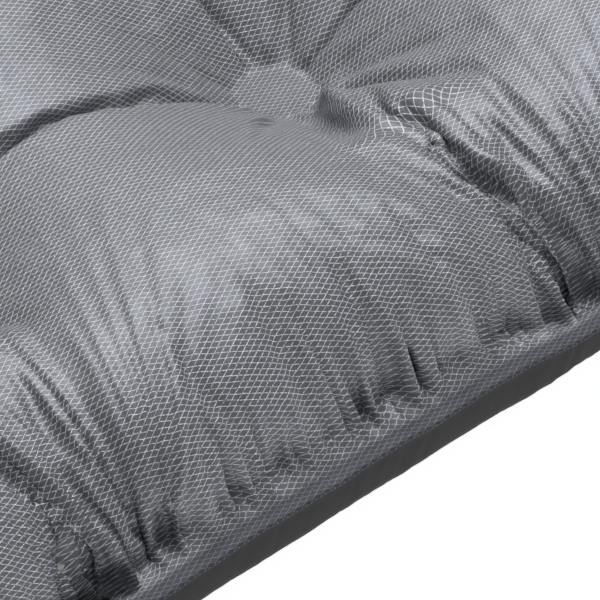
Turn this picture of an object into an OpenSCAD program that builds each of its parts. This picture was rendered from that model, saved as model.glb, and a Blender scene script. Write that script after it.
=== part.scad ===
// Quilted camp mat: two welded shells drawn together at flat discs, two inner layers and a flip valve.
// The origin is on the ground at the middle of the mat. +X runs to the foot end, +Z is up.

/* [Mat] */
// Length over the welded flange
mat_l = 1830; // [1200:10:2200]
// Width over the welded flange
mat_w = 510; // [400:5:700]
// Thickness at the crowns when inflated
mat_t = 76; // [60:1:100]
// Radius of the flange's corners in plan
corner_r = 75; // [60:1:120]
// Width of the flat flange outside the weld line
flange_w = 5; // [3:0.5:10]
// Thickness of one layer of coated cloth as drawn
cloth_t = 0.8; // [0.5:0.1:1.5]

/* [Discs] */
// Diameter of each flat disc where the shells are welded together
disc_d = 20; // [14:1:30]
// Wanted distance between discs, which is evened out to fill each direction
disc_pitch = 140; // [125:5:180]
// Distance from the flange's edge to the outer row of discs
disc_edge = 118; // [110:1:150]
// Width of the level crown that is left between two hollows
crown_land = 29; // [20:1:50]

/* [Inner layers] */
// Thickness of the fibre layer
batt_t = 12; // [6:1:16]
// Height of the fibre layer above the weld plane
batt_lift = 3; // [2:0.5:6]
// Thickness of the heat-reflecting film as drawn
film_t = 0.4; // [0.3:0.1:1]
// Gap between an inner layer and the shells
layer_gap = 3; // [2:0.5:8]

/* [Valve body] */
// Gap between the valve's flange and the hollows and rounded edge near it
valve_margin = 3; // [2:0.5:6]
// Diameter of the flange that is welded under the cloth
valve_flange_d = 60; // [54:1:62]
// Thickness of that flange
valve_flange_t = 1.2; // [0.8:0.1:2]
// Bore of the collar
collar_bore_d = 35; // [30:0.5:38]
// Wall of the collar
collar_wall = 2.5; // [1.5:0.1:3]
// Height of the collar above the cloth
collar_rise = 2.4; // [1.5:0.1:5]
// Depth of the collar below the cloth
collar_drop = 8; // [6:0.5:12]
// Gap between the collar and the hole in the cloth round it
cloth_hole_gap = 0.5; // [0.4:0.1:1]
// Thickness of the guard that keeps the fibre out of the collar
guard_t = 1.5; // [1:0.1:3]
// Width of the guard's bars
guard_bar = 2; // [1.5:0.1:3]

/* [Lids] */
// Thickness of the deflation lid
lid_t = 1.8; // [1.2:0.1:3]
// Depth of the lid's plug below the lid
lid_plug = 3.8; // [2:0.1:5]
// Bore of the inflation port in the lid
port_bore_d = 18; // [14:0.5:20]
// Wall of the port and of both plugs
port_wall = 1.9; // [1.2:0.1:2.2]
// Height of the port above the lid
port_rise = 1.4; // [1:0.1:3]
// Depth of the port below the lid
port_drop = 5.4; // [5:0.1:7]
// Thickness of the inflation cap
cap_t = 1.6; // [1.2:0.1:2.5]
// Depth of the cap's plug below the cap
cap_plug = 2.2; // [1.5:0.1:3]
// Thickness of the lid's sealing ring
lid_seal_t = 0.7; // [0.5:0.1:1]
// Thickness of the cap's sealing ring
cap_seal_t = 0.3; // [0.3:0.1:0.8]
// Gap all round between a plug and its bore
plug_gap = 0.5; // [0.4:0.05:0.8]
// Gap between faces that close on each other
face_gap = 0.1; // [0.1:0.05:0.3]
// Length of the finger tabs
tab_l = 5; // [3:0.5:8]
// Width of the finger tabs
tab_w = 10; // [6:0.5:12]
// How far the cap's rim reaches past the port
cap_lip = 0.6; // [0.5:0.1:1.5]

/* [Hinges] */
// Diameter of the lid's hinge pin
lid_pin_d = 1.6; // [1.2:0.1:2]
// Diameter of the cap's hinge pin
cap_pin_d = 1.2; // [1:0.1:1.6]
// Gap round a pin in its knuckle
pin_gap = 0.08; // [0.05:0.01:0.1]
// Wall of the lid's knuckle and lugs round the pin
knuckle_wall = 1.1; // [0.9:0.05:1.4]
// Wall of the cap's knuckle and lugs round the pin
cap_knuckle_wall = 0.8; // [0.7:0.05:1]
// Width of the lid's knuckle
lid_knuckle_w = 5; // [4:0.5:8]
// Width of the cap's knuckle
cap_knuckle_w = 4; // [3:0.5:6]
// Width of each lug
lug_w = 1.8; // [1.4:0.1:3]
// Gap between a knuckle and the lugs beside it
lug_gap = 0.25; // [0.2:0.05:0.5]
// Gap between a hinge and the moulding or cloth under it
hinge_lift = 0.4; // [0.3:0.1:1]
// Gap between the lid's knuckle and the collar
lid_hinge_gap = 3; // [2:0.5:5]
// Gap between the cap's knuckle and the cap
cap_hinge_gap = 1.5; // [1:0.5:3]

/* [One-way flap] */
// Thickness of the flap
flap_t = 0.9; // [0.6:0.1:1.5]
// How far the flap overlaps the port's wall
flap_lap = 1.4; // [0.8:0.1:1.7]
// Gap between the flap and the port's rim
flap_gap = 0.3; // [0.2:0.05:0.5]
// Diameter of the flap's stem
stem_d = 2; // [1.6:0.1:2.6]
// Gap round the stem
stem_gap = 0.1; // [0.08:0.01:0.15]
// How far the flap opens
flap_travel = 2; // [1:0.1:3]
// Diameter of the button on the stem
button_d = 6; // [5:0.5:8]
// Thickness of the button
button_t = 1; // [0.8:0.1:1.5]
// Thickness of the spider that guides the stem
spider_t = 1.2; // [0.8:0.1:2]
// Height of the spider above the port's lower rim
spider_lift = 0.4; // [0.2:0.1:1]
// Width of the spider's arms
spider_arm = 1.4; // [1:0.1:2]
// Room left under the button when the flap is fully open
button_spare = 0.4; // [0.2:0.1:1]

/* [Hidden] */
$fn = 96;
eps = 0.01;

// Weld plane, where the two shells meet
weld_z = mat_t / 2;
// The discs, evened out over the length and the width
cols = round((mat_l - 2 * disc_edge) / disc_pitch) + 1;
rows = round((mat_w - 2 * disc_edge) / disc_pitch) + 1;
pitch_x = (mat_l - 2 * disc_edge) / (cols - 1);
pitch_y = (mat_w - 2 * disc_edge) / (rows - 1);

// The valve lies between two discs of the first column, just inside the rounded edge of the head end
valve_edge = flange_w + mat_t / 2 + valve_margin + valve_flange_d / 2;
valve_x = -mat_l / 2 + valve_edge;
valve_y = (rows % 2 == 1) ? pitch_y / 2 : 0;
disc_to_valve = norm([disc_edge - valve_edge, pitch_y / 2]);
// Radius of the hollow round a disc at the crowns, which leaves room for the crowns and the valve
hollow_r = min((min(pitch_x, pitch_y) - crown_land) / 2, disc_to_valve - valve_flange_d / 2 - valve_margin);
collar_r = collar_bore_d / 2 + collar_wall;
collar_top = mat_t + collar_rise;
collar_low = mat_t - cloth_t - collar_drop;

// Heights of the lid and the cap when both are shut
lid_low = collar_top + face_gap + lid_seal_t;
lid_high = lid_low + lid_t;
lid_plug_r = collar_bore_d / 2 - plug_gap;
port_r = port_bore_d / 2;
port_top = lid_high + port_rise;
port_low = lid_low - port_drop;
cap_low = port_top + face_gap + cap_seal_t;
cap_high = cap_low + cap_t;
cap_r = port_r + port_wall + cap_lip;
cap_plug_r = port_r - plug_gap;

// Hinge lines: the lid opens to +X, the cap opens to -X
lid_knuckle_r = lid_pin_d / 2 + pin_gap + knuckle_wall;
cap_knuckle_r = cap_pin_d / 2 + pin_gap + cap_knuckle_wall;
lid_hinge_x = collar_r + lid_knuckle_r + lid_hinge_gap;
lid_hinge_z = lid_low;
cap_hinge_x = -(cap_r + cap_knuckle_r + cap_hinge_gap);
cap_hinge_z = lid_high + cap_knuckle_r + hinge_lift;

// One-way flap, under the port
flap_top = port_low - flap_gap;
spider_low = port_low + spider_lift;
button_low = spider_low + spider_t + flap_travel + button_spare;

module at_valve() {
    translate([valve_x, valve_y, 0]) children();
}

module at_discs() {
    for (i = [0 : cols - 1], j = [0 : rows - 1])
        translate([-(cols - 1) * pitch_x / 2 + i * pitch_x, -(rows - 1) * pitch_y / 2 + j * pitch_y, 0])
            children();
}

module ring(outer, inner, low, high) {
    translate([0, 0, low])
        difference() {
            cylinder(r = outer, h = high - low);
            translate([0, 0, -1]) cylinder(r = inner, h = high - low + 2);
        }
}

module disc(radius, low, high) {
    translate([0, 0, low]) cylinder(r = radius, h = high - low);
}

// Flat plate with round corners, set in from the flange's edge
module plate(inset, thick) {
    long = mat_l - 2 * inset;
    wide = mat_w - 2 * inset;
    r = corner_r - inset;
    linear_extrude(height = thick)
        union() {
            square([long, wide - 2 * r], center = true);
            square([long - 2 * r, wide], center = true);
            for (sx = [-1, 1], sy = [-1, 1])
                translate([sx * (long / 2 - r), sy * (wide / 2 - r)]) circle(r = r);
        }
}

// Quarter round that the shell's edge follows in section
module edge_round(reach) {
    intersection() {
        circle(r = reach);
        square(reach + 1);
    }
}

// Solid half of the inflated form, flat side down at z = 0, whose outline is set in from the flange's edge
module half_form(inset, rise) {
    side_l = mat_l - 2 * corner_r;
    side_w = mat_w - 2 * corner_r;
    plate(inset + rise, rise);
    for (s = [0, 1]) rotate([0, 0, 180 * s]) {
        translate([-side_l / 2, mat_w / 2 - inset - rise, 0])
            rotate([90, 0, 90]) linear_extrude(height = side_l) edge_round(rise);
        translate([mat_l / 2 - inset - rise, side_w / 2, 0])
            rotate([90, 0, 0]) linear_extrude(height = side_w) edge_round(rise);
        for (m = [0, 1]) mirror([0, m, 0])
            translate([side_l / 2, side_w / 2, 0])
                rotate_extrude(angle = 90)
                    translate([corner_r - inset - rise, 0]) edge_round(rise);
    }
}

// The hollow round each disc, widened by a wall: it starts at the disc's face and opens up to the crowns
module hollows(wall) {
    translate([0, 0, cloth_t])
        at_discs() cylinder(r1 = disc_d / 2 + wall, r2 = hollow_r + wall, h = mat_t / 2 - cloth_t + eps);
}

// One shell, weld plane at z = 0: cloth skin of the half form with a hollow at each disc, and the flange
module shell() {
    rise = mat_t / 2;
    difference() {
        union() {
            half_form(flange_w, rise);
            plate(0, cloth_t);
        }
        hollows(0);
        difference() {
            translate([0, 0, -eps]) half_form(flange_w + cloth_t, rise - cloth_t + eps);
            at_discs() disc(disc_d / 2 + cloth_t, -1, cloth_t);
            hollows(cloth_t);
        }
    }
}

module upper_shell() {
    color("slategray")
        difference() {
            translate([0, 0, weld_z]) shell();
            at_valve() disc(collar_r + cloth_hole_gap, mat_t - 2 * cloth_t, mat_t + 1);
        }
}

module lower_shell() {
    color("dimgray") translate([0, 0, weld_z]) mirror([0, 0, 1]) shell();
}

module insulation_batt() {
    low = weld_z + batt_lift;
    slope = (hollow_r - disc_d / 2) / (mat_t / 2 - cloth_t);
    hole_r = disc_d / 2 + slope * (batt_lift + batt_t) + cloth_t + layer_gap;
    color("whitesmoke")
        difference() {
            translate([0, 0, low]) plate(flange_w + cloth_t + layer_gap + batt_t / 2, batt_t);
            at_discs() disc(hole_r, low - 1, low + batt_t + 1);
        }
}

module reflective_film() {
    color("silver")
        difference() {
            translate([0, 0, weld_z - film_t / 2]) plate(flange_w + cloth_t + layer_gap, film_t);
            at_discs() disc(disc_d / 2 + cloth_t + layer_gap, weld_z - film_t, weld_z + film_t);
        }
}

// Lies along Y with its middle on the X-Z plane
module rod(x, z, radius, width) {
    translate([x, width / 2, z]) rotate([90, 0, 0]) cylinder(r = radius, h = width);
}

// A pair of lugs that hold a pin outside a knuckle, each on a block that joins it to its moulding
module lugs(x, z, radius, knuckle_w, block_from, block_to, block_low, block_high) {
    for (s = [-1, 1])
        translate([0, s * (knuckle_w / 2 + lug_gap + lug_w / 2), 0]) {
            rod(x, z, radius, lug_w);
            translate([block_from, -lug_w / 2, block_low])
                cube([block_to - block_from, lug_w, block_high - block_low]);
        }
}

module valve_base() {
    color("darkslategray")
        at_valve()
            difference() {
                union() {
                    disc(valve_flange_d / 2, mat_t - cloth_t - valve_flange_t, mat_t - cloth_t);
                    disc(collar_r, collar_low, collar_top);
                    lugs(lid_hinge_x, lid_hinge_z, lid_knuckle_r, lid_knuckle_w,
                        collar_r - collar_wall / 2, lid_hinge_x, mat_t + hinge_lift, collar_top);
                }
                disc(collar_bore_d / 2, collar_low - 1, collar_top + 1);
                rod(lid_hinge_x, lid_hinge_z, lid_pin_d / 2, lid_knuckle_w + 4 * lug_w);
            }
}

module insulation_guard() {
    low = collar_low - guard_t;
    color("black")
        at_valve() {
            ring(collar_r, collar_bore_d / 2 - 1.5, low, collar_low);
            disc(3, low, collar_low);
            for (a = [0, 60, 120])
                intersection() {
                    rotate([0, 0, a])
                        translate([-collar_r, -guard_bar / 2, low]) cube([2 * collar_r, guard_bar, guard_t]);
                    disc(collar_bore_d / 2 - 1, low, collar_low);
                }
        }
}

module lid_hinge_pin() {
    color("gainsboro")
        at_valve() rod(lid_hinge_x, lid_hinge_z, lid_pin_d / 2, lid_knuckle_w + 2 * (lug_gap + lug_w));
}

module deflation_lid() {
    color("dimgray")
        at_valve()
            difference() {
                union() {
                    disc(collar_r, lid_low, lid_high);
                    disc(lid_plug_r, lid_low - lid_plug, lid_low);
                    disc(port_r + port_wall, port_low, port_top);
                    translate([-collar_r - tab_l, -tab_w / 2, lid_low]) cube([tab_l + 3, tab_w, lid_t]);
                    rod(lid_hinge_x, lid_hinge_z, lid_knuckle_r, lid_knuckle_w);
                    translate([collar_r - 2, -lid_knuckle_w / 2, lid_low])
                        cube([lid_hinge_x - collar_r + 2, lid_knuckle_w, lid_t]);
                    lugs(cap_hinge_x, cap_hinge_z, cap_knuckle_r, cap_knuckle_w,
                        cap_hinge_x - cap_pin_d, cap_hinge_x + cap_pin_d, lid_high - eps, cap_hinge_z);
                }
                disc(port_r, port_low - 1, port_top + 1);
                ring(lid_plug_r - port_wall, port_r + port_wall, lid_low - lid_plug - 1, lid_low);
                rod(lid_hinge_x, lid_hinge_z, lid_pin_d / 2 + pin_gap, lid_knuckle_w + 1);
                rod(cap_hinge_x, cap_hinge_z, cap_pin_d / 2, cap_knuckle_w + 4 * lug_w);
            }
}

module lid_seal() {
    color("black") at_valve() ring(collar_r - 0.2, lid_plug_r, lid_low - lid_seal_t, lid_low);
}

module flap_spider() {
    color("black")
        at_valve()
            difference() {
                union() {
                    disc(stem_d / 2 + stem_gap + 1.1, spider_low, spider_low + spider_t);
                    intersection() {
                        disc(port_r, spider_low, spider_low + spider_t);
                        for (a = [0, 120, 240])
                            rotate([0, 0, a]) translate([0, -spider_arm / 2, spider_low])
                                cube([port_r + 1, spider_arm, spider_t]);
                    }
                }
                disc(stem_d / 2 + stem_gap, spider_low - 1, spider_low + spider_t + 1);
            }
}

module cap_hinge_pin() {
    color("gainsboro")
        at_valve() rod(cap_hinge_x, cap_hinge_z, cap_pin_d / 2, cap_knuckle_w + 2 * (lug_gap + lug_w));
}

module one_way_flap() {
    color("lightsteelblue")
        at_valve() {
            disc(port_r + flap_lap, flap_top - flap_t, flap_top);
            disc(stem_d / 2, flap_top - eps, button_low);
        }
}

module flap_button() {
    color("lightgray") at_valve() disc(button_d / 2, button_low, button_low + button_t);
}

module inflation_cap() {
    color("gray")
        at_valve()
            difference() {
                union() {
                    disc(cap_r, cap_low, cap_high);
                    ring(cap_plug_r, cap_plug_r - port_wall + 0.5, cap_low - cap_plug, cap_low + eps);
                    translate([cap_r - 2, -tab_w / 2 + 1, cap_low]) cube([tab_l, tab_w - 2, cap_t]);
                    rod(cap_hinge_x, cap_hinge_z, cap_knuckle_r, cap_knuckle_w);
                    translate([cap_hinge_x, -cap_knuckle_w / 2, cap_hinge_z])
                        cube([-cap_hinge_x - cap_r + 2, cap_knuckle_w, cap_high - cap_hinge_z]);
                }
                rod(cap_hinge_x, cap_hinge_z, cap_pin_d / 2 + pin_gap, cap_knuckle_w + 1);
            }
}

module cap_seal() {
    color("black") at_valve() ring(cap_r - 0.4, port_r + 0.2, cap_low - cap_seal_t, cap_low);
}

upper_shell();
lower_shell();
insulation_batt();
reflective_film();
valve_base();
insulation_guard();
lid_hinge_pin();
deflation_lid();
lid_seal();
flap_spider();
cap_hinge_pin();
one_way_flap();
flap_button();
inflation_cap();
cap_seal();
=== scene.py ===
"""Quilted camp mat: two inflated cloth shells, two inner layers and a flip valve, in metres."""
import math

import bmesh
import bpy
import numpy as np
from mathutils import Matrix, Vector
from mathutils.bvhtree import BVHTree


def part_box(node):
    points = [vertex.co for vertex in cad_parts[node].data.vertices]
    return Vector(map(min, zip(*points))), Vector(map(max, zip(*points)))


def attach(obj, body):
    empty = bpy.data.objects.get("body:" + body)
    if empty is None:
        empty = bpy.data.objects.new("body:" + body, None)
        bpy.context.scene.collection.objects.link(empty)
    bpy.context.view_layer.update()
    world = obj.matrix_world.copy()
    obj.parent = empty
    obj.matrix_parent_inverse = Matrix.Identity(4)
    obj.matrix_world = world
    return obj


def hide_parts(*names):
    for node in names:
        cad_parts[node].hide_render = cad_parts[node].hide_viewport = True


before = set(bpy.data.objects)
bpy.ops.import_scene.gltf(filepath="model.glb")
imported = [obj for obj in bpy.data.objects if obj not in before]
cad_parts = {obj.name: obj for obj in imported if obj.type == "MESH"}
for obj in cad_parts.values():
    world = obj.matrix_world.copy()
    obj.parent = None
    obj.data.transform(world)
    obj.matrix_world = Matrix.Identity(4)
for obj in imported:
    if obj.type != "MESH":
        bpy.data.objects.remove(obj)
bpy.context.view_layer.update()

MM = 0.001

# ---------------------------------------------------------------- sizes
SHELL_LOW, SHELL_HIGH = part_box("upper_shell")
LENGTH = SHELL_HIGH.x - SHELL_LOW.x
WIDTH = SHELL_HIGH.y - SHELL_LOW.y
CROWN = SHELL_HIGH.z
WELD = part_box("lower_shell")[1].z
CORNER = 75 * MM
FLANGE = 5 * MM
FLANGE_CLOTH = 0.35 * MM
DISC = 10 * MM
DISC_EDGE = 118 * MM
DISC_PITCH = 140 * MM
COLUMNS = round((LENGTH - 2 * DISC_EDGE) / DISC_PITCH) + 1
ROWS = round((WIDTH - 2 * DISC_EDGE) / DISC_PITCH) + 1
PITCH = np.array([(LENGTH - 2 * DISC_EDGE) / (COLUMNS - 1), (WIDTH - 2 * DISC_EDGE) / (ROWS - 1)])
FIRST_DISC = np.array([DISC_EDGE - LENGTH / 2, DISC_EDGE - WIDTH / 2])

VALVE_LOW, VALVE_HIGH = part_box("insulation_guard")
VALVE = np.array([(VALVE_LOW.x + VALVE_HIGH.x) / 2, (VALVE_LOW.y + VALVE_HIGH.y) / 2])
COLLAR = (VALVE_HIGH.x - VALVE_LOW.x) / 2
VALVE_FLANGE = 30 * MM

# The disc that the camera looks at
DISC_A = FIRST_DISC + PITCH * [5, 0]

# How much larger the cloth was cut than the area that it covers when inflated
SLACK = 0.07

# How far the lower shell's side swells out past the weld
RIM_SWELL = 5 * MM

# The cloth is cut fuller along the rim: how far in, and by how much height
RIM_ROUND = 30 * MM
RIM_CUT = 20 * MM

# Long folds: how far they run from a disc, and in from the flange where it lies nearest to an outer disc
DISC_FOLDS = 34 * MM
FAN_REACH = 46 * MM

# How far outside the weld the lines of such a fan meet, how far towards the mat's middle the fan is pulled,
# and how fast its folds follow each other as they turn
FAN_ROOT = 14 * MM
FAN_PULL = 10 * MM
FAN_SPREAD = 60 * MM

# The fold that winds from an outer disc to the flange: its width, its sway to each side and its wave length
SPINE_WIDTH = 4 * MM
SPINE_SWAY = 11 * MM
SPINE_WAVE = 110 * MM

# The share of its height that the inflated cloth keeps when the mat lies at rest, half blown up
SETTLED = 0.95

# A light pull on the cloth towards the foot end, which makes its billows lean that way
LEAN = 0.13

# The frame by which the springs of the cloth have taken their lengths from the flat cut
CUT_BY_FRAME = 5

# The cloth is held flat over the valve's flange, its hole is cut a little wider than the collar, and the
# raised ground round the valve ends at this distance from its middle
VALVE_GAP = 0.3 * MM
VALVE_GROUND = 68 * MM
VALVE_STIFF = 40 * MM

# How deep the small folds are beside the flange, along it and round the discs, and how high the long folds
# stand at the discs, in the fans and beside the winding groove, all in millimetres
EDGE_DEPTH = 4.2
STREAK_DEPTH = 0.7
DISC_DEPTH = 0.9
DISC_FOLD_HEIGHT = 1.8
FAN_HEIGHT = 3.0
SPINE_HEIGHT = 1.9

# Cloth grid spacings: over most of the mat, where small puckers are wanted, and round the valve
COARSE = 6.5 * MM
FINE = 1.9 * MM
VALVE_FINE = 3.5 * MM

# How many frames the cloth is blown up for
FRAMES = 16

# The share of the folds that the smooth, tight lower shell takes, and how plainly each weld shows: its darker
# colour is partly the weld's own look and partly painted shade that dims the highlight on the flat disc and
# valve welds
BASE_FOLDS = 0.05
DISC_MARK = 0.4
VALVE_MARK = 0.6

# The inner layers: grid spacing, gap round each disc, and gap inside the cut edge
FIBRE_GRID, FIBRE_HOLE, FIBRE_RIM = 7 * MM, 8 * MM, 20 * MM
FILM_GRID, FILM_HOLE, FILM_RIM = 12 * MM, 5 * MM, 17 * MM

# Spacing of the threads of the ripstop lattice, and half the angle between its two sets of threads
THREAD_GAP = 1.41 * MM
THREAD_ANGLE = math.radians(27.75)


# ---------------------------------------------------------------- places on the flat mat
def disc_centres(place):
    """The centre of the disc nearest each place."""
    index = np.round((place - FIRST_DISC) / PITCH)
    return FIRST_DISC + PITCH * np.clip(index, 0, [COLUMNS - 1, ROWS - 1])


def to_disc(place):
    return np.linalg.norm(place - disc_centres(place), axis=1)


def to_valve(place):
    return np.linalg.norm(place - VALVE, axis=1)


def inset(place):
    """Distance in from the flange's cut edge."""
    reach = np.abs(place) - [LENGTH / 2 - CORNER, WIDTH / 2 - CORNER]
    corner = CORNER - np.linalg.norm(np.maximum(reach, 0), axis=1)
    side = CORNER - reach.max(axis=1)
    return np.where((reach > 0).all(axis=1), corner, side)


def lines(length, coarse, fine_spans):
    """Where the grid lines of the cloth lie: coarse over the whole, finer over each span."""
    half = length / 2
    at = [-half]
    while at[-1] < half - FLANGE - coarse * 0.2:
        here = at[-1]
        step = FLANGE / 2 if here < -half + FLANGE * 0.9 else coarse
        for low, high, fine in fine_spans:
            if low <= here < high:
                step = min(step, fine)
            elif here < low < here + step:
                step = low - here if low - here > fine else fine
        at.append(here + step)
    inner = np.array(at[3:])
    low, high = -half + FLANGE, half - FLANGE
    inner = low + (inner - low) * (high - low) / (inner[-1] - low)
    return np.concatenate([[-half, -half + FLANGE / 2, low], inner, [half - FLANGE / 2, half]])


def round_corners(place):
    """Squares the cloth's corner blocks into quarter discs, and leaves the rest where it is."""
    edge = np.array([LENGTH / 2, WIDTH / 2]) - CORNER
    share = (np.abs(place) - edge) / CORNER
    inside = (share > 0).all(axis=1)
    long, short = share[inside].max(axis=1), share[inside].min(axis=1)
    turn = math.pi / 4 * short / long
    big, small = long * np.cos(turn), long * np.sin(turn)
    x_first = share[inside, 0] >= share[inside, 1]
    rounded = np.column_stack([np.where(x_first, big, small), np.where(x_first, small, big)])
    place = place.copy()
    place[inside] = np.sign(place[inside]) * (edge + rounded * CORNER)
    return place


def snap_round(place, centre, radius, reach):
    """Pulls the places near a circle onto it."""
    away = place - centre
    distance = np.linalg.norm(away, axis=1)
    near = np.abs(distance - radius) < reach
    place = place.copy()
    place[near] = (centre + away / np.maximum(distance, 1e-9)[:, None] * radius)[near]
    return place


def weld_middle(place):
    """The nearest point to each place on the line about which the corners turn."""
    core = np.array([LENGTH / 2, WIDTH / 2]) - CORNER
    return np.clip(place, -core, core)


def weld_line(place):
    """The nearest point to each place on the flange's inner line."""
    middle = weld_middle(place)
    away = place - middle
    away /= np.maximum(np.linalg.norm(away, axis=1), 1e-9)[:, None]
    return middle + away * (CORNER - FLANGE)


def disc_line(place):
    """The nearest point to each place on the rim of a disc."""
    centre = disc_centres(place)
    away = place - centre
    away /= np.maximum(np.linalg.norm(away, axis=1), 1e-9)[:, None]
    return centre + away * DISC


# ---------------------------------------------------------------- meshes and their vertices
def coordinates(mesh):
    out = np.empty(len(mesh.vertices) * 3, np.float32)
    mesh.vertices.foreach_get("co", out)
    return out.reshape(-1, 3).astype(float)


def move_to(mesh, place):
    mesh.vertices.foreach_set("co", place.astype(np.float32).ravel())
    mesh.update()


def key_to(mesh, name, place):
    mesh.shape_keys.key_blocks[name].data.foreach_set("co", place.astype(np.float32).ravel())


def normals(mesh):
    out = np.empty(len(mesh.vertices) * 3, np.float32)
    mesh.vertices.foreach_get("normal", out)
    return out.reshape(-1, 3).astype(float)


def link(name, mesh):
    made = bpy.data.objects.new(name, mesh)
    bpy.context.scene.collection.objects.link(made)
    return made


def applied(made):
    """The object's mesh with its modifiers applied, which are then removed."""
    shown = made.evaluated_get(bpy.context.evaluated_depsgraph_get())
    mesh = bpy.data.meshes.new_from_object(shown)
    made.modifiers.clear()
    made.data = mesh
    return mesh


def cloth_grid(name, across, along):
    """A grid with a vertex at each crossing of the lines, and a UV map for the flat cloth in metres."""
    bm = bmesh.new()
    layer = bm.loops.layers.uv.new("cloth")
    bmesh.ops.create_grid(bm, x_segments=len(across) - 1, y_segments=len(along) - 1, size=0.5)
    for vert in bm.verts:
        i = round((vert.co.x + 0.5) * (len(across) - 1))
        j = round((vert.co.y + 0.5) * (len(along) - 1))
        vert.co = (across[i], along[j], 0)
    mesh = bpy.data.meshes.new(name)
    bm.to_mesh(mesh)
    bm.free()
    return mesh


def cloth_length(gap):
    """How much cloth lies within each gap from the flange, where it is cut fuller along the rim."""
    step = np.linspace(0, RIM_ROUND, 300)
    height = RIM_CUT * np.sqrt(1 - (1 - step / RIM_ROUND) ** 2)
    length = np.concatenate([[0], np.cumsum(np.hypot(np.diff(step), np.diff(height)))])
    return np.interp(gap, step, length) + np.maximum(gap - RIM_ROUND, 0)


def write_flat(mesh, place):
    """Stores where each vertex lies on the mat's plan, and on the flat cloth as the UV map."""
    plan = mesh.attributes.new("plan", "FLOAT2", "POINT")
    plan.data.foreach_set("vector", place.astype(np.float32).ravel())
    out = weld_line(place) - weld_middle(place)
    out /= np.maximum(np.linalg.norm(out, axis=1), 1e-9)[:, None]
    gap = np.maximum(inset(place) - FLANGE, 0)
    fuller = cloth_length(RIM_ROUND) - RIM_ROUND - (cloth_length(gap) - gap)
    cut = (place + out * fuller[:, None]) * (1 + SLACK)
    loops = np.empty(len(mesh.loops), int)
    mesh.loops.foreach_get("vertex_index", loops)
    mesh.uv_layers["cloth"].uv.foreach_set("vector", cut[loops].astype(np.float32).ravel())


def read_plan(mesh):
    """Where each vertex lies on the mat's plan."""
    plan = np.empty(len(mesh.vertices) * 2, np.float32)
    mesh.attributes["plan"].data.foreach_get("vector", plan)
    return plan.reshape(-1, 2).astype(float)


def unevenness(place, size, seed):
    """Smooth noise from -1 to 1 over the plan: a few sine waves with seeded directions and phases."""
    random = np.random.default_rng(seed)
    total = np.zeros(len(place))
    for _ in range(7):
        angle, phase = random.uniform(0, 2 * math.pi, 2)
        stretch = random.uniform(0.6, 1.7) / size
        total += np.sin((place @ [math.cos(angle), math.sin(angle)]) * stretch * 2 * math.pi + phase)
    return total / 4


# ---------------------------------------------------------------- the inflated shell
def cut_out(name, coarse, spans_x, spans_y):
    """The flat cloth, with grid lines drawn onto the discs and the valve's hole, and its vertices' plan."""
    across = lines(LENGTH, coarse, spans_x)
    along = lines(WIDTH, coarse, spans_y)
    mesh = cloth_grid(name, across, along)
    place = round_corners(coordinates(mesh)[:, :2])
    for centre in np.unique(disc_centres(place), axis=0):
        gap = coarse
        for low, high, fine in spans_x:
            if low < centre[0] < high and any(a < centre[1] < b for a, b, _ in spans_y):
                gap = fine
        place = snap_round(place, centre, DISC, gap * 0.5)
    place = snap_round(place, VALVE, COLLAR + VALVE_GAP, 1.5 * MM)
    write_flat(mesh, place)
    return mesh, place


def dome_height(place, disc_gap, edge_gap):
    """Where the cloth starts: a plain dome, a little uneven, with dips at the discs."""
    rim = np.sqrt(1 - np.maximum(1 - edge_gap / (38 * MM), 0) ** 2)
    swell = (1 - np.exp(-disc_gap / (32 * MM))) * rim
    return WELD + (CROWN - WELD) * swell + 0.05 * MM * unevenness(place, 9 * MM, 4)


def cut_height(place, disc_gap, edge_gap):
    """The form that gives the springs their lengths: fuller along the rim, and raised round the valve."""
    raised = np.clip((VALVE_GROUND - to_valve(place)) / (VALVE_GROUND - VALVE_FLANGE), 0, 1)
    raised = raised ** 2 * (3 - 2 * raised)
    foot = np.exp(-((place[:, 0] - disc_centres(place)[:, 0]) / (20 * MM)) ** 2)
    tight = 1 - 0.7 * foot * (edge_gap < 60 * MM)
    rim = np.sqrt(1 - np.maximum(1 - edge_gap / RIM_ROUND, 0) ** 2) * tight
    full = RIM_CUT * rim * (1 - np.exp(-(disc_gap / (42 * MM)) ** 2))
    return WELD + np.maximum(full, (CROWN - WELD) * raised)


def key_start_and_cut(made, place, start, cut_form):
    """Keys the cloth from its start to its cut form, so that its springs take their lengths from the cut."""
    made.shape_key_add(name="start", from_mix=False)
    cut = made.shape_key_add(name="cut", from_mix=False)
    key_to(made.data, "start", np.column_stack([place, start]))
    key_to(made.data, "cut", np.column_stack([place, cut_form]))
    for value, step in ((1, CUT_BY_FRAME), (0, 1)):
        cut.value = value
        cut.keyframe_insert("value", frame=step)


def blow_up(made, held, frames):
    """Runs the cloth, held where it is welded, under pressure and a light pull, and applies it."""
    group = made.vertex_groups.new(name="held")
    group.add([int(i) for i in np.nonzero(held)[0]], 1.0, "REPLACE")
    cloth = made.modifiers.new("cloth", "CLOTH")
    settings = cloth.settings
    settings.quality = 5
    settings.mass = 0.002
    settings.vertex_group_mass = group.name
    settings.use_dynamic_mesh = True
    settings.tension_stiffness = 15
    settings.compression_stiffness = 3
    settings.shear_stiffness = 3
    settings.bending_stiffness = 0.05
    settings.use_pressure = True
    settings.uniform_pressure_force = 100
    settings.shrink_min = -SLACK
    settings.shrink_max = -SLACK
    settings.effector_weights.gravity = 1
    cloth.collision_settings.use_collision = False
    cloth.point_cache.frame_start = 1
    cloth.point_cache.frame_end = frames
    scene = bpy.context.scene
    usual = scene.gravity.copy()
    scene.gravity = (LEAN, 0, 0)
    for step in range(1, frames + 1):
        scene.frame_set(step)
    applied(made)
    made.vertex_groups.clear()
    scene.frame_set(1)
    scene.gravity = usual


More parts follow.
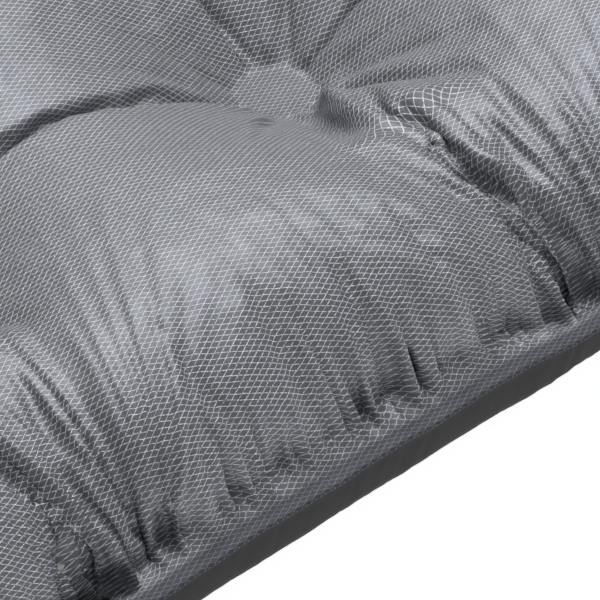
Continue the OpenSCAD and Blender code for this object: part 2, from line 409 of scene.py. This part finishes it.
def inflate(name, coarse, spans_x, spans_y, frames):
    """Cloth cut larger than its plan, held at flange, discs and valve, and blown up by pressure."""
    mesh, place = cut_out(name, coarse, spans_x, spans_y)
    disc_gap = np.maximum(to_disc(place) - DISC, 0)
    edge_gap = np.maximum(inset(place) - FLANGE, 0)
    held = (disc_gap < 1e-6) | (edge_gap < 1e-6)
    valve = to_valve(place) <= VALVE_FLANGE
    height = dome_height(place, disc_gap, edge_gap)
    height[held] = WELD
    height[valve] = CROWN
    made = link(name, mesh)
    key_start_and_cut(made, place, height, cut_height(place, disc_gap, edge_gap))
    blow_up(made, held | valve, frames)
    return made


VIEW_X = (DISC_A[0] - 175 * MM, DISC_A[0] + 75 * MM, FINE)
VIEW_Y = (-WIDTH / 2, DISC_A[1] + 50 * MM, FINE)
VALVE_X = (VALVE[0] - 42 * MM, VALVE[0] + 42 * MM, VALVE_FINE)
VALVE_Y = (VALVE[1] - 42 * MM, VALVE[1] + 42 * MM, VALVE_FINE)


def crease_lines(place, size, seed):
    """Long crooked creases at random, from 0 to 1."""
    bend = np.column_stack([unevenness(place, 2 * size, seed), unevenness(place, 2 * size, seed + 1)])
    return sharp(place + 0.35 * size * bend, size, seed + 2)


def crumpled(place):
    """The height of the small creases that the cloth keeps from being rolled up, in millimetres."""
    amount = np.clip(0.55 + 0.6 * unevenness(place, 90 * MM, 41), 0.1, 1)
    broad = crease_lines(place, 42 * MM, 51) - crease_lines(place, 36 * MM, 61)
    fine = crease_lines(place, 17 * MM, 71) - crease_lines(place, 14 * MM, 81)
    return amount * (0.25 * broad + 0.12 * fine)


def sharp(place, size, seed):
    """Thin crooked lines at random, from 0 to 1."""
    return np.clip(1 - 1.6 * np.abs(unevenness(place, size, seed)), 0, 1) ** 1.5


def radiating(place, disc_gap):
    """Long folds that run out from each disc and bend on their way, from -1 to 1."""
    bend = np.column_stack([unevenness(place, 70 * MM, 22), unevenness(place, 70 * MM, 23)])
    root = disc_line(place) + bend * 3 * MM
    crest = sharp(root, 12 * MM, 24) - sharp(root, 12 * MM, 27)
    reach = DISC_FOLDS * np.clip(0.7 + 0.6 * unevenness(root, 30 * MM, 29), 0.25, 1.3)
    return crest * np.exp(-(disc_gap / reach) ** 2) * np.clip(disc_gap / (5 * MM), 0, 1)


def beside_disc(place):
    """How far each place lies past the nearest disc along the nearest side, away from the mat's middle."""
    away = (place - disc_centres(place)) * np.sign(place)
    reach = np.abs(place) - [LENGTH / 2, WIDTH / 2]
    return np.where(reach[:, 1] > reach[:, 0], away[:, 0], away[:, 1])


def fan(place, edge_gap):
    """Sharp folds that spread inward from the flange at each outer disc, from -1 to 1."""
    turn = np.arctan2(beside_disc(place) + FAN_PULL, edge_gap + FAN_ROOT)
    at = disc_centres(place) + np.column_stack([turn, np.zeros(len(turn))]) * FAN_SPREAD
    crest = sharp(at, 9 * MM, 91) - sharp(at, 9 * MM, 95)
    near = np.exp(-(turn / 0.6) ** 2 - (edge_gap / FAN_REACH) ** 2)
    return crest * near * np.clip(edge_gap / (3 * MM), 0, 1)


def spine(place, edge_gap, disc_gap):
    """A ridge beside a groove that winds from each outer disc to the flange, from -1 to 1."""
    phase = 3 * unevenness(disc_centres(place), 200 * MM, 97)
    sway = SPINE_SWAY * np.sin(2 * math.pi * edge_gap / SPINE_WAVE + phase)
    side = (beside_disc(place) - sway) / SPINE_WIDTH
    ends = np.clip(edge_gap / (8 * MM), 0, 1) * np.clip(disc_gap / (8 * MM), 0, 1)
    outer = np.clip((DISC_EDGE - FLANGE - edge_gap) / DISC, 0, 1)
    return (np.exp(-(side + 1) ** 2) - np.exp(-(side - 1) ** 2)) * ends * outer


def pinched(line, gap, reach, size, seed):
    """Small sharp folds that start at a weld and die away from it, from 0 to 1."""
    folds = np.clip(1 - 1.3 * np.abs(unevenness(line, size, seed)), 0, 1) ** 1.5
    crowd = np.clip(0.5 + 0.8 * unevenness(line, 5 * size, seed + 1), 0.1, 1.2)
    decay = np.exp(-np.maximum(gap, 0) / (reach * (0.5 + 0.9 * crowd)))
    return folds * crowd * decay * np.clip(gap / (1.2 * MM), 0, 1)


def pucker(mesh, share):
    """Gathers the cloth in folds along the flange and round the discs, and ripples the flange."""
    place = coordinates(mesh)
    flat = read_plan(mesh)
    edge_gap = inset(flat) - FLANGE
    disc_gap = to_disc(flat) - DISC
    line = weld_line(flat)
    foot = np.exp(-(beside_disc(line) / (15 * MM)) ** 2)
    edge = pinched(line, edge_gap, 8 * MM, 11 * MM, 11)
    edge += 1.5 * pinched(line, edge_gap, 5 * MM, 5.5 * MM, 13)
    edge += 1.2 * pinched(line, edge_gap, 3.5 * MM, 4 * MM, 15)
    edge *= 1 + 0.9 * foot
    streak = pinched(line, edge_gap, 34 * MM, 15 * MM, 17)
    disc = pinched(disc_line(flat), disc_gap, 10 * MM, 9 * MM, 21)
    gathered = DISC_FOLD_HEIGHT * radiating(flat, disc_gap) + FAN_HEIGHT * fan(flat, edge_gap)
    gathered += SPINE_HEIGHT * spine(flat, edge_gap, disc_gap)
    loose = np.clip(np.minimum(edge_gap, disc_gap) / (8 * MM), 0, 1)
    free = np.clip(to_valve(flat) / (20 * MM) - 1.6, 0, 1)
    pressed = EDGE_DEPTH * edge + STREAK_DEPTH * streak + DISC_DEPTH * disc
    push = share * free * (gathered + crumpled(flat) * loose - pressed)
    place += normals(mesh) * (push * MM)[:, None]
    wave = 0.5 * unevenness(line, 60 * MM, 31) + 0.35 * unevenness(line, 19 * MM, 32) - 2.2 * foot
    place[:, 2] += wave * MM * np.exp(-np.maximum(edge_gap, 0) / (14 * MM))
    move_to(mesh, place)


def welded(gap):
    """From 0 in the free cloth to 1 in a weld, over one millimetre."""
    return np.clip(0.5 - gap / (1 * MM), 0, 1)


def mark_welds(mesh, valve_mark):
    """Stores where the cloth is welded flat, for its material."""
    flat = read_plan(mesh)
    flange = welded(inset(flat) - FLANGE)
    disc = DISC_MARK * welded(to_disc(flat) - DISC)
    valve = valve_mark * welded(np.abs(to_valve(flat) - 26 * MM) - 4 * MM)
    mark = mesh.attributes.new("weld", "FLOAT", "POINT")
    mark.data.foreach_set("value", np.maximum(np.maximum(flange, disc), valve).astype(np.float32))


def without_valve_hole(mesh):
    """Cuts the round hole in which the valve's collar stands."""
    bm = bmesh.new()
    bm.from_mesh(mesh)
    centre = Vector((VALVE[0], VALVE[1]))
    inside = [f for f in bm.faces if (f.calc_center_median().xy - centre).length < COLLAR]
    bmesh.ops.delete(bm, geom=inside, context="FACES")
    bm.to_mesh(mesh)
    bm.free()


def turned_edge(mesh, drop):
    """Turns the cloth's cut edges down, or up with a negative drop, so that the cloth shows its thickness."""
    bm = bmesh.new()
    bm.from_mesh(mesh)
    edges = [e for e in bm.edges if e.is_boundary]
    rim = bmesh.ops.extrude_edge_only(bm, edges=edges)["geom"]
    bmesh.ops.translate(bm, verts=[v for v in rim if isinstance(v, bmesh.types.BMVert)], vec=(0, 0, -drop))
    for face in (f for f in rim if isinstance(f, bmesh.types.BMFace)):
        face.material_index = 1
    bm.to_mesh(mesh)
    bm.free()


def finish_cloth(made, drop, share, valve_mark):
    """Subdivides a shell, puckers it, and gives its cut edge a thickness."""
    smooth = made.modifiers.new("smooth", "SUBSURF")
    smooth.levels = smooth.render_levels = 1
    mesh = applied(made)
    pucker(mesh, share)
    mark_welds(mesh, valve_mark)
    place = coordinates(mesh) + [0, 0, drop]
    place[:, 2] = np.maximum(place[:, 2], 0)
    move_to(mesh, place)
    turned_edge(mesh, drop)
    mesh.polygons.foreach_set("use_smooth", [True] * len(mesh.polygons))


def turned_over(mesh):
    """The lower shell is the same form turned over, smooth and round at its rim, and flat where it rests."""
    plan = read_plan(mesh) * [1, -1]
    place = coordinates(mesh) * [1, -1, -1] + [0, 0, 2 * WELD]
    gap = np.maximum(inset(plan) - FLANGE, 0)
    inner = np.clip((gap - 24 * MM) / (24 * MM), 0, 1)
    inner = (inner ** 2 * (3 - 2 * inner))[:, None]
    rounded = WELD - WELD * np.sqrt(1 - np.clip(1 - gap / WELD, 0, 1) ** 2)
    line = weld_line(plan)
    out = line - weld_middle(plan)
    out /= np.maximum(np.linalg.norm(out, axis=1), 1e-9)[:, None]
    swell = RIM_SWELL * np.sin(math.pi * (WELD - rounded) / WELD) * np.exp(-gap / (20 * MM))
    rim = np.column_stack([plan + out * swell[:, None], rounded])
    place = rim + (place - rim) * inner
    place[:, 2] = np.maximum(place[:, 2], 0)
    move_to(mesh, place)
    mesh.attributes["plan"].data.foreach_set("vector", plan.astype(np.float32).ravel())


top = inflate("top_shell", COARSE, [VIEW_X, VALVE_X], [VIEW_Y, VALVE_Y], FRAMES)
form = coordinates(top.data)
settled = np.where(to_valve(form[:, :2]) < VALVE_STIFF, 1, SETTLED)
form[:, 2] = WELD + (form[:, 2] - WELD) * settled
move_to(top.data, form)
base = link("base_shell", top.data.copy())
turned_over(base.data)
without_valve_hole(top.data)
finish_cloth(top, FLANGE_CLOTH, 1.0, VALVE_MARK)
finish_cloth(base, -FLANGE_CLOTH, BASE_FOLDS, 0.0)


# ---------------------------------------------------------------- the layers inside
def layer(name, spacing, hole, rim):
    """A grid over the mat's plan with a hole round each disc, as a closed form between two heights."""
    across = lines(LENGTH, spacing, [])
    along = lines(WIDTH, spacing, [])
    mesh = cloth_grid(name, across, along)
    place = round_corners(coordinates(mesh)[:, :2])
    for centre in np.unique(disc_centres(place), axis=0):
        place = snap_round(place, centre, DISC + hole, spacing * 0.5)
    move_to(mesh, np.column_stack([place, np.full(len(place), WELD)]))
    bm = bmesh.new()
    bm.from_mesh(mesh)
    bm.faces.ensure_lookup_table()
    middle = np.array([f.calc_center_median().xy for f in bm.faces])
    outside = (to_disc(middle) < DISC + hole) | (inset(middle) < rim)
    bmesh.ops.delete(bm, geom=[f for f, cut in zip(bm.faces, outside) if cut], context="FACES")
    bmesh.ops.solidify(bm, geom=bm.faces[:], thickness=1 * MM)
    bm.to_mesh(mesh)
    bm.free()
    return link(name, mesh)


def covering(mesh, plan_places):
    """The height of the inflated cloth over each place."""
    bm = bmesh.new()
    bm.from_mesh(mesh)
    tree = BVHTree.FromBMesh(bm)
    bm.free()
    heights = []
    for x, y in plan_places:
        hit = tree.ray_cast(Vector((x, y, 1)), Vector((0, 0, -1)))[0]
        heights.append(hit.z if hit else WELD)
    return np.array(heights)


def between(made, low, high):
    """Lays a layer's two faces at shares of the height from the weld to the cloth above it."""
    place = coordinates(made.data)
    cover = covering(top.data, place[:, :2]) - WELD
    ends = np.empty(len(made.data.edges) * 2, int)
    made.data.edges.foreach_get("vertices", ends)
    ends = ends.reshape(-1, 2)
    for _ in range(2):
        lowest = cover.copy()
        np.minimum.at(lowest, ends[:, 0], cover[ends[:, 1]])
        np.minimum.at(lowest, ends[:, 1], cover[ends[:, 0]])
        cover = lowest
    under = place[:, 2] < WELD - 0.5 * MM
    place[:, 2] = WELD + cover * np.where(under, low, high) + 0.1 * MM * np.where(under, -1, 1)
    move_to(made.data, place)
    made.data.polygons.foreach_set("use_smooth", [True] * len(made.data.polygons))


batt = layer("fibre_layer", FIBRE_GRID, FIBRE_HOLE, FIBRE_RIM)
between(batt, 0.08, 0.6)
film = layer("film_layer", FILM_GRID, FILM_HOLE, FILM_RIM)
between(film, 0.0, 0.0)

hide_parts("upper_shell")
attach(top, "root")
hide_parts("lower_shell")
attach(base, "root")
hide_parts("insulation_batt")
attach(batt, "root")
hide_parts("reflective_film")
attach(film, "root")


# ---------------------------------------------------------------- shader maths
class Number:
    """A number that varies over a surface. Arithmetic on it adds Math nodes to its material."""

    def __init__(self, material, socket):
        self.material = material
        self.socket = socket

    def math(self, operation, *values):
        return self.material.node("ShaderNodeMath", {"operation": operation}, *values)

    def __add__(self, other):
        return self.math("ADD", self, other)

    __radd__ = __add__

    def __sub__(self, other):
        return self.math("SUBTRACT", self, other)

    def __rsub__(self, other):
        return self.math("SUBTRACT", other, self)

    def __mul__(self, other):
        return self.math("MULTIPLY", self, other)

    __rmul__ = __mul__

    def __abs__(self):
        return self.math("ABSOLUTE", self)

    def wrapped(self):
        """The distance from the nearest whole number plus a half, from 0 to 0.5."""
        return abs(self.math("FRACT", self) - 0.5)

    def step(self, low, high):
        """A smooth step from 0 below low to 1 above high."""
        return self.material.node(
            "ShaderNodeMapRange", {"interpolation_type": "SMOOTHSTEP"},
            self, low, high, 0.0, 1.0)


class Material:
    """A node material, with one method that makes any node."""

    def __init__(self, name):
        self.data = bpy.data.materials.new(name)
        self.data.use_nodes = True
        self.tree = self.data.node_tree
        self.shader = self.tree.nodes["Principled BSDF"]

    def put(self, socket, value):
        if isinstance(value, Number):
            self.tree.links.new(value.socket, socket)
        elif value is not None:
            socket.default_value = value

    def node(self, kind, settings, *values, out=0, **named):
        made = self.tree.nodes.new(kind)
        for key, value in settings.items():
            setattr(made, key, value)
        for socket, value in zip([s for s in made.inputs if s.enabled], values):
            self.put(socket, value)
        for key, value in named.items():
            self.put(made.inputs[key.replace("_", " ")], value)
        return Number(self, made.outputs[out])

    def mix(self, share, first, second):
        """Blends two colours."""
        made = self.tree.nodes.new("ShaderNodeMix")
        made.data_type = "RGBA"
        self.put(made.inputs[0], share)
        self.put(made.inputs[6], first)
        self.put(made.inputs[7], second)
        return Number(self, made.outputs[2])

    def place(self):
        """The place in the object's own space, in metres."""
        return self.node("ShaderNodeTexCoord", {}, out=3)

    def noise(self, place, scale, detail=2.0, rough=0.5):
        return self.node("ShaderNodeTexNoise", {}, Vector=place, Scale=scale, Detail=detail, Roughness=rough)

    def bump(self, height, strength, distance, before=None):
        return self.node(
            "ShaderNodeBump", {},
            Strength=strength, Distance=distance, Height=height, Normal=before)

    def set(self, **values):
        for key, value in values.items():
            self.put(self.shader.inputs[key.replace("_", " ")], value)


def dress(made, *materials):
    made.data.materials.clear()
    for material in materials:
        made.data.materials.append(material.data)


# ---------------------------------------------------------------- materials
def ripstop():
    """Coated ripstop: a glossy grey ground under a lattice of pale threads, duller where it is welded, and
    darker there partly as painted shade on the flat welds.
    """
    m = Material("ripstop_cloth")
    flat = m.node("ShaderNodeUVMap", {"uv_map": "cloth"})
    weld = m.node("ShaderNodeAttribute", {"attribute_name": "weld"}, out=2)
    u = m.node("ShaderNodeSeparateXYZ", {}, flat, out=0)
    v = Number(m, u.socket.node.outputs[1])
    rise, run = math.sin(THREAD_ANGLE) / THREAD_GAP, math.cos(THREAD_ANGLE) / THREAD_GAP
    first = (v * run - u * rise).wrapped()
    second = (v * run + u * rise).wrapped()
    glint = m.noise(flat, 2200.0, 1.0).step(0.35, 0.65)
    # Broad lighter and darker patches of the ground: painted sheen
    wide = m.noise(flat, 30.0, 3.0)
    worn = m.noise(flat, 110.0, 3.0).step(0.3, 0.7)
    line = 1 - first.math("MINIMUM", first, second).step(0.03, 0.095)
    # Fewer pale threads and a darker ground on the welds: partly their own look, partly painted shade that
    # dims the highlight on the flat flange and discs
    line = line * (glint * 0.75 + 0.25) * (1 - 0.8 * weld)
    ground = m.mix(wide, (0.135, 0.144, 0.171, 1), (0.178, 0.186, 0.210, 1))
    ground = m.mix(weld * 0.9, ground, (0.030, 0.035, 0.048, 1))
    crinkle = m.noise(flat, 170.0, 4.0, 0.62)
    form = m.bump(crinkle, 0.16, 0.8 * MM)
    m.set(
        Base_Color=m.mix(line, ground, (0.86, 0.86, 0.88, 1)),
        Metallic=0.48 - 0.38 * line - 0.34 * weld * (1 - line),
        Roughness=0.50 + 0.06 * worn + 0.04 * line + 0.16 * weld,
        Normal=m.bump(line + 0.2 * glint, 0.5, 0.10 * MM, form),
    )
    return m


def taffeta():
    """Dull near-black base cloth with a fine plain weave: its colour is partly the cloth's own charcoal and
    partly painted shade for the dark band under the mat's rim.
    """
    m = Material("base_cloth")
    flat = m.node("ShaderNodeUVMap", {"uv_map": "cloth"})
    weld = m.node("ShaderNodeAttribute", {"attribute_name": "weld"}, out=2)
    warp = m.node("ShaderNodeTexWave", {"wave_profile": "SIN"}, Vector=flat, Scale=420.0, Distortion=0.4)
    weft = m.node("ShaderNodeTexWave", {"bands_direction": "Y"}, Vector=flat, Scale=420.0, Distortion=0.4)
    speck = m.noise(flat, 1500.0, 2.0)
    wide = m.noise(flat, 12.0, 3.0)
    # Near-black: partly the lower shell's own charcoal, partly painted shade under the rim
    cloth = m.mix(wide, (0.020, 0.0195, 0.0195, 1), (0.028, 0.027, 0.027, 1))
    m.set(
        Base_Color=m.mix(0.25 * speck, cloth, (0.032, 0.031, 0.031, 1)),
        Roughness=0.78 + 0.10 * speck - 0.10 * weld,
        Specular_IOR_Level=0.15,
        Normal=m.bump(warp * weft + speck, 0.18, 0.06 * MM),
    )
    return m


def cut_edge(name, dark, light):
    """The cut end of the coated cloth, paler than its face."""
    m = Material(name)
    place = m.place()
    speck = m.noise(place, 900.0, 2.0)
    m.set(
        Base_Color=m.mix(speck, dark, light),
        Roughness=0.5 + 0.15 * speck,
        Normal=m.bump(speck, 0.2, 0.1 * MM),
    )
    return m


def moulding(name, dark, light, rough):
    """Moulded plastic with a fine spark-eroded grain and a slightly cloudy colour."""
    m = Material(name)
    place = m.place()
    grain = m.noise(place, 2600.0, 2.0)
    cloud = m.noise(place, 90.0, 3.0)
    m.set(
        Base_Color=m.mix(cloud, dark, light),
        Roughness=rough + 0.12 * grain + 0.08 * cloud,
        Normal=m.bump(grain, 0.25, 0.06 * MM),
    )
    return m


def silicone():
    """Milky silicone, smooth with a faint bloom."""
    m = Material("milky_silicone")
    place = m.place()
    bloom = m.noise(place, 220.0, 4.0)
    m.set(
        Base_Color=m.mix(bloom, (0.44, 0.47, 0.50, 1), (0.56, 0.59, 0.62, 1)),
        Roughness=0.3 + 0.2 * bloom,
        Subsurface_Weight=0.25,
        Subsurface_Scale=1 * MM,
        Normal=m.bump(bloom, 0.1, 0.1 * MM),
    )
    return m


def drawn_steel():
    """Steel wire with the fine lines of drawing along it."""
    m = Material("drawn_steel")
    stretched = m.node("ShaderNodeMapping", {}, Vector=m.place(), Scale=(1.0, 0.04, 1.0))
    streak = m.noise(stretched, 9000.0, 2.0)
    m.set(
        Base_Color=m.mix(streak, (0.50, 0.50, 0.50, 1), (0.66, 0.66, 0.65, 1)),
        Metallic=1.0,
        Roughness=0.28 + 0.2 * streak,
        Normal=m.bump(streak, 0.15, 0.03 * MM),
    )
    return m


def fibre():
    """Thin matted polyester fibre."""
    m = Material("matted_fibre")
    place = m.place()
    tangle = m.noise(place, 700.0, 5.0, 0.7)
    clump = m.noise(place, 60.0, 3.0)
    m.set(
        Base_Color=m.mix(clump * tangle * 1.6, (0.55, 0.55, 0.53, 1), (0.86, 0.86, 0.84, 1)),
        Roughness=0.85 + 0.12 * tangle,
        Normal=m.bump(tangle, 0.6, 0.5 * MM),
    )
    return m


def metallised():
    """Crinkled metallised film."""
    m = Material("metallised_film")
    place = m.place()
    crinkle = m.node("ShaderNodeTexVoronoi", {"feature": "DISTANCE_TO_EDGE"}, Vector=place, Scale=70.0)
    haze = m.noise(place, 160.0, 3.0)
    m.set(
        Base_Color=m.mix(haze, (0.68, 0.69, 0.71, 1), (0.80, 0.81, 0.83, 1)),
        Metallic=1.0,
        Roughness=0.18 + 0.18 * haze,
        Normal=m.bump(crinkle + 0.3 * haze, 0.4, 1 * MM),
    )
    return m


dress(top, ripstop(), cut_edge("top_cut_edge", (0.26, 0.28, 0.32, 1), (0.42, 0.44, 0.48, 1)))
dress(base, taffeta(), cut_edge("base_cut_edge", (0.05, 0.05, 0.05, 1), (0.09, 0.09, 0.09, 1)))
dress(batt, fibre())
dress(film, metallised())

body_plastic = moulding("valve_plastic", (0.030, 0.032, 0.037, 1), (0.042, 0.044, 0.050, 1), 0.42)
lid_plastic = moulding("lid_plastic", (0.052, 0.055, 0.062, 1), (0.070, 0.073, 0.081, 1), 0.40)
cap_plastic = moulding("cap_plastic", (0.145, 0.153, 0.172, 1), (0.180, 0.190, 0.212, 1), 0.38)
seal_rubber = moulding("seal_rubber", (0.016, 0.016, 0.017, 1), (0.026, 0.026, 0.027, 1), 0.55)
flap_silicone = silicone()
pin_steel = drawn_steel()
FINISHES = {
    "valve_base": body_plastic,
    "insulation_guard": body_plastic,
    "flap_spider": body_plastic,
    "deflation_lid": lid_plastic,
    "inflation_cap": cap_plastic,
    "lid_seal": seal_rubber,
    "cap_seal": seal_rubber,
    "one_way_flap": flap_silicone,
    "flap_button": flap_silicone,
    "lid_hinge_pin": pin_steel,
    "cap_hinge_pin": pin_steel,
}
for node_name, finish in FINISHES.items():
    dress(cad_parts[node_name], finish)


# ---------------------------------------------------------------- floor, light and camera
def floor():
    bm = bmesh.new()
    bmesh.ops.create_grid(bm, x_segments=1, y_segments=1, size=6)
    mesh = bpy.data.meshes.new("floor")
    bm.to_mesh(mesh)
    bm.free()
    made = link("floor", mesh)
    m = Material("floor_paper")
    m.set(Base_Color=(0.93, 0.93, 0.93, 1), Roughness=0.9, Emission_Color=(1, 1, 1, 1), Emission_Strength=0.9)
    dress(made, m)


def area_light(name, place, target, size, power, colour=(1, 1, 1)):
    data = bpy.data.lights.new(name, "AREA")
    data.shape = "DISK"
    data.size = size
    data.energy = power
    data.color = colour
    made = bpy.data.objects.new(name, data)
    made.location = place
    made.rotation_euler = (Vector(target) - Vector(place)).to_track_quat("-Z", "Y").to_euler()
    bpy.context.scene.collection.objects.link(made)


def sky(strength):
    world = bpy.data.worlds.new("studio")
    world.use_nodes = True
    world.node_tree.nodes["Background"].inputs[0].default_value = (1, 1, 1, 1)
    world.node_tree.nodes["Background"].inputs[1].default_value = strength
    bpy.context.scene.world = world


def camera(heading, elevation, distance, zoom, right, below):
    """Aims to the right of disc A and below it, by the lengths given across the view."""
    across = Vector((math.sin(heading), -math.cos(heading), 0))
    ahead = Vector((math.cos(heading), math.sin(heading), 0))
    down = Vector((0, 0, -1))
    look = ahead * math.cos(elevation) + down * math.sin(elevation)
    up = ahead * math.sin(elevation) - down * math.cos(elevation)
    data = bpy.data.cameras.new("camera")
    data.sensor_width = 36
    data.lens = 18 * zoom
    data.clip_start, data.clip_end = 0.01, 50
    made = bpy.data.objects.new("camera", data)
    disc = Vector((DISC_A[0], DISC_A[1], WELD))
    made.location = disc + across * right - up * below - look * distance
    made.rotation_mode = "QUATERNION"
    made.rotation_quaternion = look.to_track_quat("-Z", "Y")
    bpy.context.scene.collection.objects.link(made)
    bpy.context.scene.camera = made


floor()
bpy.context.scene.view_settings.view_transform = "Standard"
sky(0.25)
target = (DISC_A[0], DISC_A[1], CROWN)
area_light("key", (DISC_A[0] + 0.55, DISC_A[1] + 0.68, 1.9), target, 1.5, 41)
area_light("fill", (DISC_A[0] + 0.2, DISC_A[1] - 1.6, 1.3), target, 1.5, 0.9)
camera(math.radians(48.5), math.radians(41), 0.85, 11.05, 6.4 * MM, 53 * MM)
